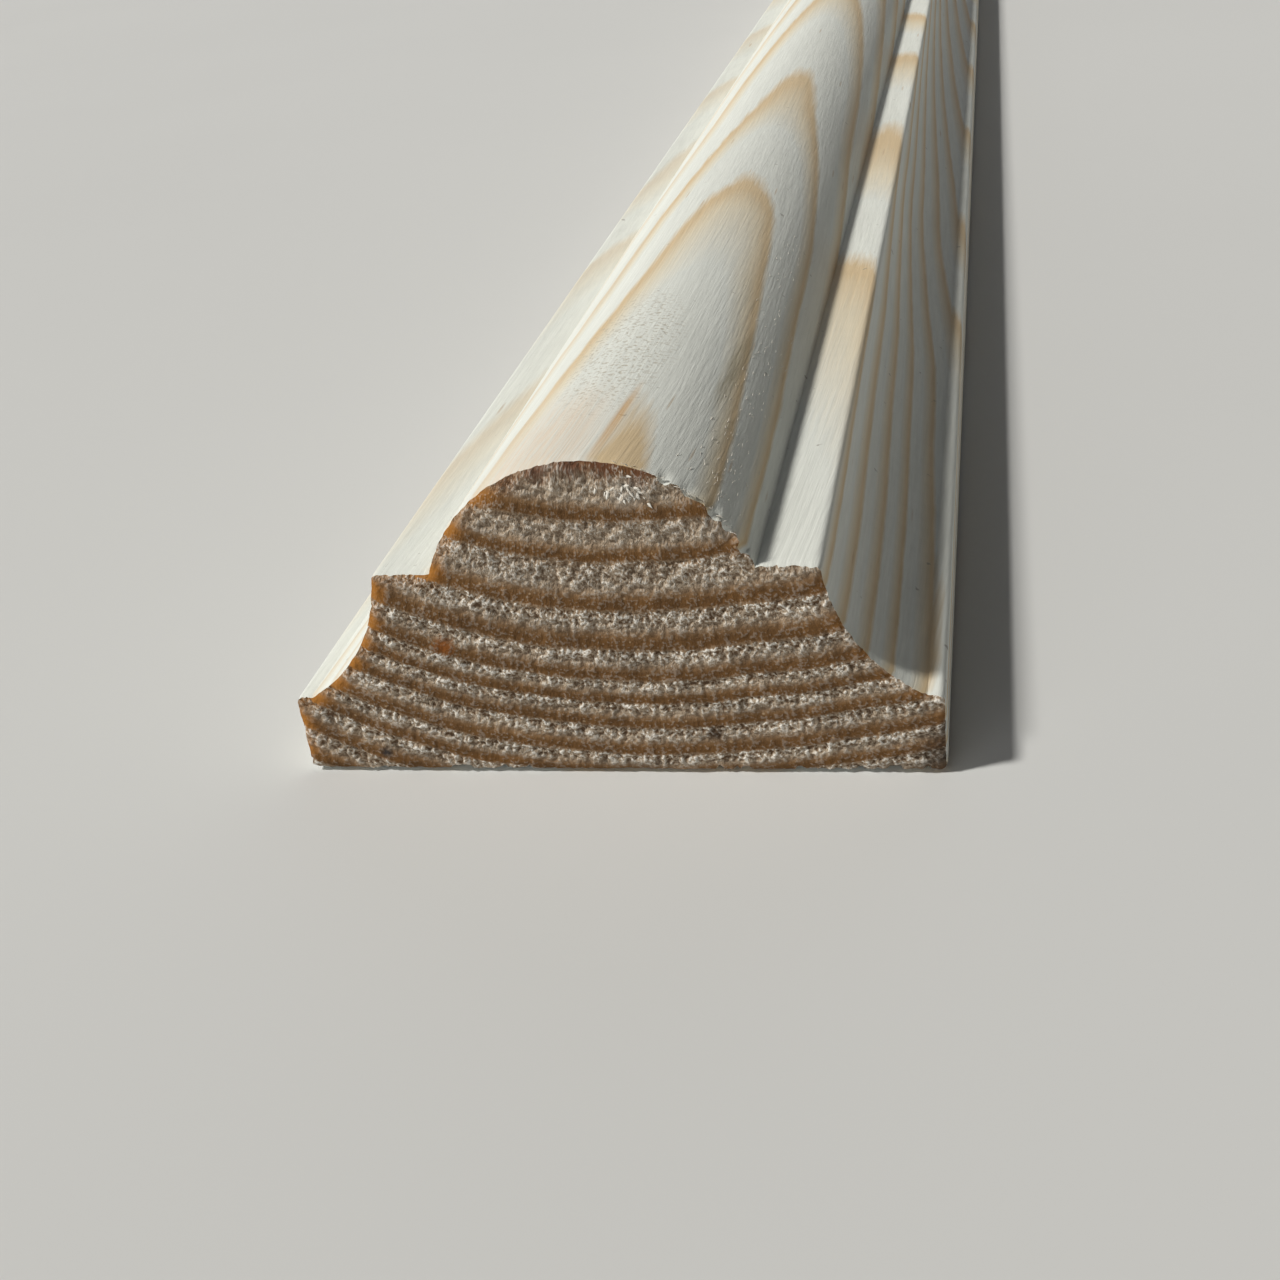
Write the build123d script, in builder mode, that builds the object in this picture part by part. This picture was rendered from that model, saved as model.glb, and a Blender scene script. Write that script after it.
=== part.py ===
"""Astragal moulding: one length of planed pine with a bead, two fillets and two coves.

Sizes are in millimetres. The stock lies on its flat back with its length along Y.
The origin is at the middle of the back face and +Z points out of the bead.
"""
import os

from build123d import *

# Length of the piece between its two sawn ends.
length = 1000.0

# Widths, from the centre line outwards. The flat, cove and fillet are on each side.
bead_width = 17.0
fillet_width = 3.2
cove_width = 4.9
flat_width = 0.9

# Heights, from the back face upwards.
edge_height = 4.6
cove_height = 7.4
bead_rise = 6.0

# Depth of the hollow below the straight line between the cove's two ends.
cove_depth = 1.1

# Radius that planing and handling leave on the long arrises.
arris_radius = 0.4

# Places on the section that follow from the sizes above.
bead_half = bead_width / 2
fillet_half = bead_half + fillet_width
cove_half = fillet_half + cove_width
base_half = cove_half + flat_width
fillet_level = edge_height + cove_height
thickness = fillet_level + bead_rise

# The two ends of the right cove, and the point where it is deepest.
cove_foot = Vector(cove_half, edge_height)
cove_head = Vector(fillet_half, fillet_level)
cove_chord = cove_head - cove_foot
cove_inward = Vector(-cove_height, -cove_width).normalized()
cove_middle = cove_foot + cove_chord * 0.5 + cove_inward * cove_depth

# Corners that stand out of the section and so get worn round.
worn_corners = [
    (base_half, 0.0),
    (base_half, edge_height),
    (fillet_half, fillet_level),
]


def is_worn(vertex):
    """True for a corner of the section that stands out, on either side."""
    return any(
        abs(abs(vertex.X) - across) < arris_radius / 2 and abs(vertex.Y - up) < arris_radius / 2
        for across, up in worn_corners
    )


with BuildPart() as moulding:
    with BuildSketch(Plane.XZ) as section:
        with BuildLine() as outline:
            Line((0, 0), (base_half, 0))
            Line((base_half, 0), (base_half, edge_height))
            Line((base_half, edge_height), cove_foot)
            ThreePointArc(cove_foot, cove_middle, cove_head)
            Line(cove_head, (bead_half, fillet_level))
            bead_side = Vector(bead_half, fillet_level)
            bead_radius = (bead_half ** 2 + bead_rise ** 2) / (2 * bead_rise)
            RadiusArc(bead_side, (0, thickness), -bead_radius)
            mirror(about=Plane.YZ)
        make_face()
        fillet([corner for corner in section.vertices() if is_worn(corner)], arris_radius)
    extrude(amount=length / 2, both=True)

moulding.part.label = "moulding"
os.makedirs("parts", exist_ok=True)
export_step(moulding.part, "parts/moulding.step")
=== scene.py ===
"""Looks of a length of pine astragal moulding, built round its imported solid.

Sizes in the classes are millimetres and angles radians, unless a name or docstring says other.
Meshes are written in metres. The stock lies on its back along Y, with the sawn end that faces
the camera at the low end of Y.
"""
import logging
import math
from dataclasses import dataclass, field
from enum import Enum
from typing import Any, Iterable

import bpy
import numpy as np
from mathutils import Euler, Matrix, Vector
from mathutils.geometry import delaunay_2d_cdt

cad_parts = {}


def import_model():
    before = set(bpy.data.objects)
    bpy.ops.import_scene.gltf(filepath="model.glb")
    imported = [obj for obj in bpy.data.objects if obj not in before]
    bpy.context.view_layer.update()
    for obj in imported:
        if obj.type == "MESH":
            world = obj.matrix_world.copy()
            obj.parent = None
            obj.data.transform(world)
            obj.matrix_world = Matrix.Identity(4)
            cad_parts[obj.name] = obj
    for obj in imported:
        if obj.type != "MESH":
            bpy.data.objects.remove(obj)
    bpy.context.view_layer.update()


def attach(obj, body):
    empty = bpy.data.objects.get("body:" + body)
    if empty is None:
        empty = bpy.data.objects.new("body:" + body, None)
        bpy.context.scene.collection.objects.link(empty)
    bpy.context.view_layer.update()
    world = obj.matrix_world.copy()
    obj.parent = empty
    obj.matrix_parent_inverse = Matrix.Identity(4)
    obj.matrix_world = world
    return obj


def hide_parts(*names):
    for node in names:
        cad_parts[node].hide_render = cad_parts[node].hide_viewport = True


LOG = logging.getLogger("moulding")
MM = 0.001

Socket = bpy.types.NodeSocket
Tree = bpy.types.NodeTree
Colour = tuple[float, float, float, float]
Triple = tuple[float, float, float]
Span = tuple[float, float]
# The two ends of a measure, and what it becomes at each of them.
Remap = tuple[float, float, float, float]
# The number of the first point in a loop round the stock, and its distances round the outline.
Loop = tuple[int, np.ndarray]
# A node's values or the sockets that feed them, in order or by name or number.
Inputs = tuple[Any, ...] | dict[str | int, Any]

# Points drawn on each run of the section's outline, and on each worn corner.
OUTLINE_POINTS = {"back": 400, "edge": 120, "flat": 40, "cove": 200, "fillet": 100, "bead": 260}
CORNER_POINTS = 14
# Sides of the outline that depths are measured from, and how many points are measured at once.
DEPTH_SIDES = 700
DEPTH_BATCH = 4000
# Distances round the outline closer than this are the same place.
SAME_PLACE = 1e-6
# A step along the outline that shows which way it runs.
NUDGE = 0.05
# The middle of what a noise node gives.
NOISE_MIDDLE = 0.5


class Finish(Enum):
    """Which of the mesh's two finishes a face wears."""

    PLANED = 0
    SAWN = 1


class End(Enum):
    """The two sawn ends, each with the way it faces along the length."""

    NEAR = -1
    FAR = 1


class Trace(Enum):
    """The saw's traces on an end, each with its seed and the width of its lumps."""

    CRUMB = (21, 0.24)
    LUMP = (24, 0.62)
    BROAD = (27, 7.0)
    TORN = (31, 0.5)
    FRAY = (40, 0.35)
    TEAR = (43, 0.62)
    CHIP = (46, 0.7)
    FINE_CRUMB = (51, 0.13)


def linear(code: str) -> Colour:
    """Turns an sRGB hex colour into the linear colour that a shader takes.

    Args:
        code: Six hex digits after a hash sign.

    Returns:
        Linear red, green and blue, and an alpha of one.
    """
    parts = [int(code[i:i + 2], 16) / 255 for i in (1, 3, 5)]
    red, green, blue = (
        c / 12.92 if c <= 0.04045 else ((c + 0.055) / 1.055) ** 2.4 for c in parts
    )
    return red, green, blue, 1.0


def feed(tree: Tree, node: bpy.types.Node, inputs: Inputs) -> None:
    """Sets or links a node's inputs.

    Args:
        tree: The nodes that it belongs to.
        node: The node.
        inputs: Its values or the sockets that feed them.
    """
    for name, value in inputs.items() if isinstance(inputs, dict) else enumerate(inputs):
        if isinstance(value, Socket):
            tree.links.new(value, node.inputs[name])
        else:
            node.inputs[name].default_value = value


def add(tree: Tree, kind: str, inputs: Inputs, output: str | int = 0, **settings: Any) -> Socket:
    """Adds a node, sets it up and links it.

    Args:
        tree: The material's nodes.
        kind: The node's type without its ShaderNode prefix.
        inputs: Its values or the sockets that feed them.
        output: The name or number of the socket to hand on.
        **settings: Properties of the node itself.

    Returns:
        The asked-for output socket.
    """
    node = tree.nodes.new("ShaderNode" + kind)
    for name, value in settings.items():
        setattr(node, name, value)
    feed(tree, node, inputs)
    return node.outputs[output]


def product(tree: Tree, first: Socket, *others: Socket) -> Socket:
    """Multiplies sockets together.

    Args:
        tree: The material's nodes.
        first: The first factor.
        *others: The other factors.

    Returns:
        Their product.
    """
    for other in others:
        first = add(tree, "Math", (first, other), operation="MULTIPLY")
    return first


def layered(tree: Tree, colour: Socket, layers: Iterable[tuple[Socket, str]]) -> Socket:
    """Lays colours over one another.

    Args:
        tree: The material's nodes.
        colour: The colour underneath.
        layers: How much of a point each layer covers, and the layer's colour.

    Returns:
        The colour that is seen.
    """
    for cover, code in layers:
        colour = add(tree, "Mix", {0: cover, 6: colour, 7: linear(code)}, 2, data_type="RGBA")
    return colour


def ring_colours(tree: Tree, share: Socket, stops: tuple[tuple[float, str], ...]) -> Socket:
    """Colours one growth ring from its start to its end.

    Args:
        tree: The material's nodes.
        share: How far through its ring a point lies.
        stops: Shares of the ring from 0 to 1, each with its colour.

    Returns:
        The ring's colour at the point.
    """
    colour = add(tree, "ValToRGB", (share,), "Color")
    elements = colour.node.color_ramp.elements
    for element, (spot, code) in zip(elements, (stops[0], stops[-1])):
        element.position, element.color = spot, linear(code)
    for spot, code in stops[1:-1]:
        elements.new(spot).color = linear(code)
    return colour


def new_material(name: str) -> tuple[bpy.types.Material, bpy.types.Node]:
    """Makes a material and finds its surface shader.

    Args:
        name: The real material and how its surface was made.

    Returns:
        The material and the shader node that its inputs go to.
    """
    mat = bpy.data.materials.new(name)
    mat.use_nodes = True
    return mat, mat.node_tree.nodes["Principled BSDF"]


def new_object(name: str, points: np.ndarray, faces: list[tuple[int, ...]]) -> bpy.types.Object:
    """Makes a smooth-shaded object and puts it in the scene.

    Args:
        name: The name of the object and its mesh.
        points: Rows of x, y and z in millimetres.
        faces: The numbers of each face's points.

    Returns:
        The object, in metres.
    """
    mesh = bpy.data.meshes.new(name)
    mesh.from_pydata((points * MM).tolist(), [], faces)
    mesh.polygons.foreach_set("use_smooth", [True] * len(mesh.polygons))
    thing = bpy.data.objects.new(name, mesh)
    bpy.context.scene.collection.objects.link(thing)
    return thing


def smooth(low: float, high: float, value: np.ndarray) -> np.ndarray:
    """Eases from 0 at low to 1 at high."""
    t = np.clip((value - low) / (high - low), 0.0, 1.0)
    return t * t * (3.0 - 2.0 * t)


@dataclass(frozen=True)
class Unevenness:
    """Smooth seeded noise in three dimensions, between -1 and 1."""

    seed: int
    cells: int = 4096
    mixers: tuple[int, int, int] = (73856093, 19349663, 83492791)

    def at(self, points: np.ndarray, size: float) -> np.ndarray:
        """Reads the noise.

        Args:
            points: Rows of coordinates in millimetres.
            size: The width of one lump.

        Returns:
            One value for each row.
        """
        table = np.random.default_rng(self.seed).uniform(-1.0, 1.0, self.cells)
        scaled = points / size
        cell = np.floor(scaled).astype(np.int64)
        ease = smooth(0.0, 1.0, scaled - cell)
        total = np.zeros(len(scaled))
        for corner in np.ndindex(2, 2, 2):
            offset = np.array(corner[::-1])
            key = np.bitwise_xor.reduce((cell + offset) * self.mixers, axis=1) & (self.cells - 1)
            total += np.where(offset, ease, 1.0 - ease).prod(axis=1) * table[key]
        return total


@dataclass
class Section:
    """The moulding's section, as the planer's cutters leave it."""

    bead_width: float = 17.0
    fillet_width: float = 3.2
    cove_width: float = 4.9
    flat_width: float = 0.9
    edge_height: float = 4.6
    cove_height: float = 7.4
    bead_rise: float = 6.0
    cove_depth: float = 1.1
    arris_radius: float = 0.4
    largest_turn: float = 0.16
    line: np.ndarray = field(init=False)
    run: np.ndarray = field(init=False)
    creases: np.ndarray = field(init=False)

    def __post_init__(self) -> None:
        """Draws the outline once, anticlockwise from the middle of the back."""
        right, creases = self._right_side()
        left = right[::-1][1:] * [-1.0, 1.0]
        self.line = np.concatenate([right, left])
        steps = np.linalg.norm(np.diff(self.line, axis=0), axis=1)
        self.run = np.concatenate([[0.0], np.cumsum(steps)])
        half = self.run[len(right) - 1]
        self.creases = np.concatenate([creases, 2 * half - creases[::-1]])

    @property
    def half_width(self) -> float:
        """Half the width of the back."""
        return self.bead_width / 2 + self.fillet_width + self.cove_width + self.flat_width

    @property
    def thickness(self) -> float:
        """Height of the bead's crown above the back."""
        return self.edge_height + self.cove_height + self.bead_rise

    def _right_side(self) -> tuple[np.ndarray, np.ndarray]:
        """Draws the right half of the outline.

        Returns:
            Its points from the back to the crown, and how far along it its inner corners lie.
        """
        half, bead = self.half_width, self.bead_width / 2
        level = self.edge_height + self.cove_height
        foot = np.array([half - self.flat_width, self.edge_height])
        head = np.array([bead + self.fillet_width, level])
        pieces = [
            np.linspace((0.0, 0.0), (half, 0.0), OUTLINE_POINTS["back"]),
            np.linspace((half, 0.0), (half, self.edge_height), OUTLINE_POINTS["edge"]),
            np.linspace((half, self.edge_height), foot, OUTLINE_POINTS["flat"]),
            self._cove(foot, head),
            np.linspace(head, (bead, level), OUTLINE_POINTS["fillet"]),
            self._crown(),
        ]
        # Corners that stand out are worn round, and the inner ones stay sharp.
        worn = (True, True, False, True, False)
        line = pieces[0]
        corners: list[float] = []
        for piece, is_worn in zip(pieces[1:], worn):
            if is_worn:
                line = self._rounded(line, piece)
            else:
                corners.append(float(np.linalg.norm(np.diff(line, axis=0), axis=1).sum()))
                line = np.concatenate([line, piece[1:]])
        return line, np.array(corners)

    def _cove(self, foot: np.ndarray, head: np.ndarray) -> np.ndarray:
        """Draws the hollow between the narrow flat and the fillet.

        Args:
            foot: Its lower end.
            head: Its upper end.

        Returns:
            Points from the foot to the head.
        """
        chord = math.hypot(self.cove_width, self.cove_height)
        inward = np.array([-self.cove_height, -self.cove_width]) / chord
        radius = (chord ** 2 / 4 + self.cove_depth ** 2) / (2 * self.cove_depth)
        hub = (foot + head) / 2 + inward * (self.cove_depth - radius)
        start, stop = (math.atan2(*(p - hub)[::-1]) % math.tau for p in (foot, head))
        sweep = np.linspace(start, stop, OUTLINE_POINTS["cove"])
        return hub + radius * np.stack([np.cos(sweep), np.sin(sweep)], axis=1)

    def _crown(self) -> np.ndarray:
        """Draws the right half of the bead.

        Returns:
            Points from the fillet to the crown.
        """
        bead = self.bead_width / 2
        radius = (bead ** 2 + self.bead_rise ** 2) / (2 * self.bead_rise)
        tilt = np.linspace(math.asin(bead / radius), 0.0, OUTLINE_POINTS["bead"])
        height = self.thickness - radius * (1 - np.cos(tilt))
        return np.stack([radius * np.sin(tilt), height], axis=1)

    def _rounded(self, before: np.ndarray, after: np.ndarray) -> np.ndarray:
        """Joins two runs of the outline with a worn corner.

        Args:
            before: Points that end at the corner.
            after: Points that start at the corner.

        Returns:
            Both runs and the rounding between them.
        """
        corner = after[0]
        before = before[np.linalg.norm(before - corner, axis=1) > self.arris_radius]
        after = after[np.linalg.norm(after - corner, axis=1) > self.arris_radius]
        t = np.linspace(0.0, 1.0, CORNER_POINTS)[1:-1, None]
        bend = (1 - t) ** 2 * before[-1] + 2 * t * (1 - t) * corner + t ** 2 * after[0]
        return np.concatenate([before, bend, after])

    def stops(self, spacing: float) -> np.ndarray:
        """Finds distances round the outline that keep its corners.

        Args:
            spacing: The widest step.

        Returns:
            Distances from the middle of the back, without the closing one.
        """
        turn = np.diff(self.line, axis=0)
        heading = np.unwrap(np.arctan2(turn[:, 1], turn[:, 0]))
        bend = np.abs(np.concatenate([[0.0], np.diff(heading), [0.0]]))
        density = np.maximum(1 / spacing, bend / self.largest_turn / np.gradient(self.run))
        steps = (density[1:] + density[:-1]) / 2 * np.diff(self.run)
        total = np.concatenate([[0.0], np.cumsum(steps)])
        wanted = np.linspace(0.0, total[-1], math.ceil(total[-1]) + 1)[:-1]
        even = np.interp(wanted, total, self.run)
        for place in self.creases:
            even[np.abs(even - place).argmin()] = place
        return even

    def at(self, run: np.ndarray) -> np.ndarray:
        """Points of the outline at distances round it."""
        return np.stack([np.interp(run, self.run, self.line[:, i]) for i in (0, 1)], axis=1)

    def depth(self, points: np.ndarray) -> np.ndarray:
        """How far points lie inside the outline.

        Args:
            points: Rows of x and z.

        Returns:
            Distances from the outline, negative outside it.
        """
        ring = self.at(np.linspace(0.0, self.run[-1], DEPTH_SIDES))
        a, b = ring[:-1], ring[1:]
        side = b - a
        # A level side is never crossed, so its slope only has to be a number.
        slope = side[:, 0] / np.where(side[:, 1] == 0, 1.0, side[:, 1])
        result = np.empty(len(points))
        for start in range(0, len(points), DEPTH_BATCH):
            part = points[start:start + DEPTH_BATCH, None, :]
            t = np.clip(((part - a) * side).sum(2) / (side ** 2).sum(1), 0.0, 1.0)
            near = np.linalg.norm(part - (a + t[..., None] * side), axis=2).min(1)
            x, z = part[..., 0], part[..., 1]
            spans = (a[:, 1] > z) != (b[:, 1] > z)
            inside = (spans & (x < a[:, 0] + (z - a[:, 1]) * slope)).sum(1) % 2 == 1
            result[start:start + DEPTH_BATCH] = np.where(inside, near, -near)
        return result


@dataclass(frozen=True)
class Waver:
    """A slow waver of the pith that sets in along the stock."""

    seed: int
    height: float
    size: float
    start: float
    full: float

    def at(self, along: np.ndarray) -> np.ndarray:
        """How far the pith strays.

        Args:
            along: Distances from the near end.

        Returns:
            Shifts in millimetres.
        """
        run = along[:, None] * (1.0, 0.0, 0.0)
        ease = smooth(self.start, self.full, along)
        return self.height * Unevenness(self.seed).at(run, self.size) * ease


@dataclass(frozen=True)
class Ripple:
    """A small waver of the rings, pressed together along the fibres so that it is long there."""

    seed: int
    height: float
    size: float
    press: Triple

    def at(self, spots: np.ndarray) -> np.ndarray:
        """How far rings stray at places across, along and out from the pith."""
        return self.height * Unevenness(self.seed).at(spots * self.press, self.size)


@dataclass
class GrowthRings:
    """The tree's growth rings, in the place where the strip was sawn from it.

    The pith lifts, sags and swells along the stock and swerves across it. A swell is given by its
    place, its width and its height. The rings are a little out of round, and one dimple in them
    shows as the small tan tongue behind the crown.
    """

    pith_x: float = 2.36
    pith_z: float = 38.2
    first_edge: float = 21.15
    widths: tuple[float, ...] = (2.39, 2.25, 2.8, 2.3, 1.8, 1.35, 1.5, 1.7, 1.45, 1.8)
    core_width: float = 2.6
    core_spread: Span = (0.75, 1.2)
    core_count: int = 8
    outer_width: float = 1.55
    outer_spread: Span = (0.7, 1.35)
    outer_count: int = 24
    out_of_round: Span = (3.93, 7.13)
    lift: float = 19.0
    lift_length: float = 2000.0
    sag: float = 1.83
    sag_length: float = 90.0
    swells: tuple[Triple, ...] = ((45.0, 10.0, -0.27), (78.0, 12.0, 0.31))
    far_rise: Waver = Waver(11, 0.45, 90.0, 100.0, 220.0)
    swerve: float = 6.0
    swerve_length: float = 23.3
    calm_side: Span = (-13.0, -4.0)
    calm_share: float = 0.3
    far_drift: Waver = Waver(12, 2.2, 260.0, 110.0, 400.0)
    dimple: float = 0.8
    dimple_at: Triple = (-0.5, 0.0, 18.0)
    dimple_reach: Triple = (2.5, 9.5, 0.9)
    ripples: tuple[Ripple, ...] = (
        Ripple(13, 0.10, 2.6, (1.0, 0.02, 0.6)),
        Ripple(14, 0.05, 0.9, (1.0, 0.01, 1.0)),
    )
    thin_latewood: Span = (30.1, 27.1)
    thinning: float = 0.4
    arc_radius: float = 30.0
    arc_drift: float = 0.35
    seed: int = 7
    edges: np.ndarray = field(init=False)

    def __post_init__(self) -> None:
        """Works out every ring's outer edge from the ring widths."""
        rng = np.random.default_rng(self.seed)
        core = self.core_width * rng.uniform(*self.core_spread, self.core_count)
        outer = self.outer_width * rng.uniform(*self.outer_spread, self.outer_count)
        inner_edges = self.first_edge - np.cumsum(core)
        seen = self.first_edge + np.cumsum(self.widths)
        outer_edges = seen[-1] + np.cumsum(outer)
        self.edges = np.concatenate([inner_edges[::-1], [self.first_edge], seen, outer_edges])

    def _rise(self, along: np.ndarray) -> np.ndarray:
        """How far the pith has risen at distances from the near end.

        Args:
            along: Distances in millimetres.

        Returns:
            Heights over the pith's place at the near end.
        """
        rise = self.lift * np.sin(math.tau * along / self.lift_length)
        rise -= self.sag * (1.0 - np.exp(-along / self.sag_length))
        for place, width, height in self.swells:
            rise += height * np.exp(-((along - place) / width) ** 2)
        return rise + self.far_rise.at(along)

    def _drift(self, x: np.ndarray, along: np.ndarray) -> np.ndarray:
        """How far the grain has swerved to the right.

        Args:
            x: Places across the stock.
            along: Distances from the near end.

        Returns:
            Shifts in millimetres, less on the calm left side.
        """
        drift = self.swerve * (1.0 - np.exp(-along / self.swerve_length))
        drift *= self.calm_share + (1.0 - self.calm_share) * smooth(*self.calm_side, x)
        return drift + self.far_drift.at(along)

    def sample(self, points: np.ndarray, half_length: float) -> np.ndarray:
        """Reads the grain at points of the stock.

        Args:
            points: Rows of x, y and z in millimetres.
            half_length: Half the stock's length.

        Returns:
            For each point its ring number with a fraction, its place round the ring and its radius.
        """
        x, y, z = points.T
        along = y + half_length
        drift = self._drift(x, along)
        dx, dz = x - self.pith_x - drift, self.pith_z + self._rise(along) - z
        angle = np.arctan2(dx, dz)
        square, cube = self.out_of_round
        radius = np.hypot(dx, dz) - square * angle ** 2 - cube * angle ** 3
        beside = (np.stack([x, along, z], axis=1) - self.dimple_at) / self.dimple_reach
        radius += self.dimple * np.exp(-(beside ** 2).sum(axis=1))
        spots = np.stack([dx, along, radius], axis=1)
        strayed = radius + sum(ripple.at(spots) for ripple in self.ripples)
        ring = np.interp(strayed, self.edges, np.arange(len(self.edges), dtype=float))
        part = ring % 1.0
        power = 1.0 + self.thinning * smooth(*self.thin_latewood, radius)
        arc = np.arctan2(x - self.pith_x - self.arc_drift * drift, dz) * self.arc_radius
        return np.stack([ring - part + part ** power, arc, radius], axis=1)


@dataclass(frozen=True)
class WoodPlace:
    """Sockets that say where a point of the wood lies in the tree and in the stock.

    The ring is a number with a fraction, arc and radius are millimetres, and the rest metres.
    """

    tree: Tree
    ring: Socket
    arc: Socket
    radius: Socket
    place: Socket
    across: Socket
    along: Socket
    up: Socket

    @classmethod
    def of(cls, tree: Tree) -> "WoodPlace":
        """Adds the nodes that read a point's place.

        Args:
            tree: The material's nodes.

        Returns:
            The sockets of those nodes.
        """
        grain = add(tree, "Attribute", (), "Vector", attribute_name="grain")
        place = add(tree, "TexCoord", (), "Object")
        in_tree = add(tree, "SeparateXYZ", (grain,)).node.outputs
        in_stock = add(tree, "SeparateXYZ", (place,)).node.outputs
        return cls(tree, *in_tree, place, *in_stock)

    def in_grain(self, press: float = 1.0) -> Socket:
        """Places points by the grain, so that a pattern follows the fibres.

        Args:
            press: Below one, draws the pattern out along the fibres.

        Returns:
            Round and out from the pith and along the stock, in millimetres.
        """
        along = add(self.tree, "Math", (self.along, press / MM), operation="MULTIPLY")
        return add(self.tree, "CombineXYZ", (self.arc, self.radius, along))


@dataclass(frozen=True)
class Streak:
    """A run of fibres of another colour, placed round and out from the pith and along the stock."""

    middle: Triple
    reach: Triple
    colour: str
    strength: float
    edge: Remap = (0.3, 1.0, 1.0, 0.0)
    between_threads: float = 0.35
    thread: Span = (0.38, 0.62)

    def cover(self, at: WoodPlace, fibre: Socket) -> Socket:
        """Adds the nodes that say how much of a point the streak covers.

        Args:
            at: The point's place.
            fibre: How pale the fibre is there.

        Returns:
            The streak's strength in its middle, less between threads, and zero outside it.
        """
        tree = at.tree
        offset = add(tree, "VectorMath", (at.in_grain(), self.middle), operation="SUBTRACT")
        share = add(tree, "VectorMath", (offset, self.reach), operation="DIVIDE")
        away = add(tree, "VectorMath", (share,), "Value", operation="LENGTH")
        cover = add(tree, "MapRange", (away, *self.edge), interpolation_type="SMOOTHSTEP")
        least = self.strength * self.between_threads
        thread = add(tree, "MapRange", (fibre, *self.thread, least, self.strength))
        return product(tree, cover, thread)


@dataclass(frozen=True)
class PlanedPine:
    """Scots pine straight off the planer.

    Cream earlywood shades into tan latewood and stops at a crisp line. Fibres run along the
    length as fine streaks, and short brown dashes are resin canals that the cutters opened.
    Fibres are drawn a few times coarser than life, so that they show.
    """

    earlywood: str = "#ECEEE6"
    latewood: str = "#E8DCC2"
    latewood_edge: str = "#DCC49D"
    canal: str = "#BFA27C"
    grime: str = "#8E8478"
    scuff: str = "#B3A995"
    fibre_mm: float = 0.22
    fibre_length_mm: float = 9.0
    patch_mm: float = 1.375
    ridge_mm: float = 0.4889
    canal_apart_mm: float = 1.0606
    canal_press: float = 0.05
    grime_mm: float = 0.9
    pick_mm: float = 0.26
    chatter_mm: float = 1.6
    fibre_shake: float = 0.11
    fibre_tone: Remap = (0.25, 0.75, 0.92, 1.05)
    patch_tone: Remap = (0.3, 0.7, 0.95, 1.03)
    # Painted highlight: towards the left, which faces the key lamp, the grain is washed out to plain
    # earlywood cream.
    glare_wash_left: Remap = (-6.0 * MM, -3.0 * MM, 0.5, 0.0)
    canal_cover: Remap = (0.05, 0.10, 0.45, 0.0)
    grime_cover: Remap = (0.735, 0.78, 0.0, 0.55)
    pick_cover: Remap = (0.50, 0.72, 0.0, 0.8)
    scuff_edge: Remap = (0.45, 1.0, 1.0, 0.0)
    scuff_at: Triple = (-0.5, -483.5, 17.8)
    scuff_reach: Span = (3.846, 13.333)
    streaks: tuple[Streak, ...] = (
        Streak((-6.5, 22.0, -498.0), (5.5, 4.0, 11.0), "#E0C6A8", 0.6),
        Streak((-2.4, 20.8, -494.5), (0.6, 1.6, 7.0), "#D2A566", 0.8),
        # A dark olive run of fibres on the bead's right flank, just behind the near end.
        Streak((2.7, 23.1, -483.0), (0.7, 2.0, 10.0), "#8F8362", 0.7),
    )
    rough: Remap = (0.2, 0.8, 0.70, 0.56)
    sheen: float = 0.25
    bump: float = 0.36
    bump_mm: float = 0.12
    chatter_rise: float = 0.05
    latewood_rise: float = 0.25
    ridge_rise: float = 0.5
    pick_sink: float = 0.6

    def material(self) -> bpy.types.Material:
        """Builds the material that the long faces wear.

        Returns:
            The material.
        """
        mat, shader = new_material("planed_scots_pine")
        tree = mat.node_tree
        at = WoodPlace.of(tree)
        fibres_at = at.in_grain(self.fibre_mm / self.fibre_length_mm)
        strands = {"Vector": fibres_at, "Scale": 1 / self.fibre_mm, "Detail": 4.0, "Roughness": 0.6}
        fibre = add(tree, "TexNoise", strands, "Fac")
        shaken = add(tree, "Math", (fibre, self.fibre_shake, at.ring), operation="MULTIPLY_ADD")
        share = add(tree, "Math", (shaken,), operation="FRACT")
        picks = self._picks(at)
        layers = [(self._canals(at), self.canal), (self._grime(at), self.grime), (picks, self.scuff)]
        layers += [(streak.cover(at, fibre), streak.colour) for streak in self.streaks]
        feed(tree, shader, {
            "Base Color": layered(tree, self._wood(at, share, fibre, fibres_at), layers),
            "Roughness": add(tree, "MapRange", (fibre, *self.rough)),
            "Normal": self._relief(at, share, fibre, fibres_at, picks),
            "Specular IOR Level": self.sheen,
        })
        return mat

    def _wood(self, at: WoodPlace, share: Socket, fibre: Socket, fibres_at: Socket) -> Socket:
        """Colours the rings and fibres.

        Args:
            at: The point's place.
            share: How far through its ring it lies.
            fibre: How pale the fibre is there.
            fibres_at: The place that the fibres' pattern is read at.

        Returns:
            The clean wood's colour.
        """
        tree = at.tree
        colour = ring_colours(tree, share, (
            (0.0, self.earlywood), (0.40, self.earlywood), (0.67, self.latewood),
            (0.83, self.latewood_edge), (0.89, self.latewood_edge), (1.0, self.earlywood),
        ))
        # Painted highlight: the left faces are washed towards plain earlywood cream, as strong light
        # from the left would wash out their grain.
        glare_wash = add(tree, "MapRange", (at.across, *self.glare_wash_left), interpolation_type="SMOOTHSTEP")
        colour = layered(tree, colour, [(glare_wash, self.earlywood)])
        blotches = {"Vector": fibres_at, "Scale": 1 / self.patch_mm, "Detail": 3.0}
        patch = add(tree, "TexNoise", blotches, "Fac")
        tone = product(
            tree,
            add(tree, "MapRange", (fibre, *self.fibre_tone)),
            add(tree, "MapRange", (patch, *self.patch_tone)),
        )
        return add(tree, "VectorMath", {0: colour, "Scale": tone}, operation="SCALE")

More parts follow.
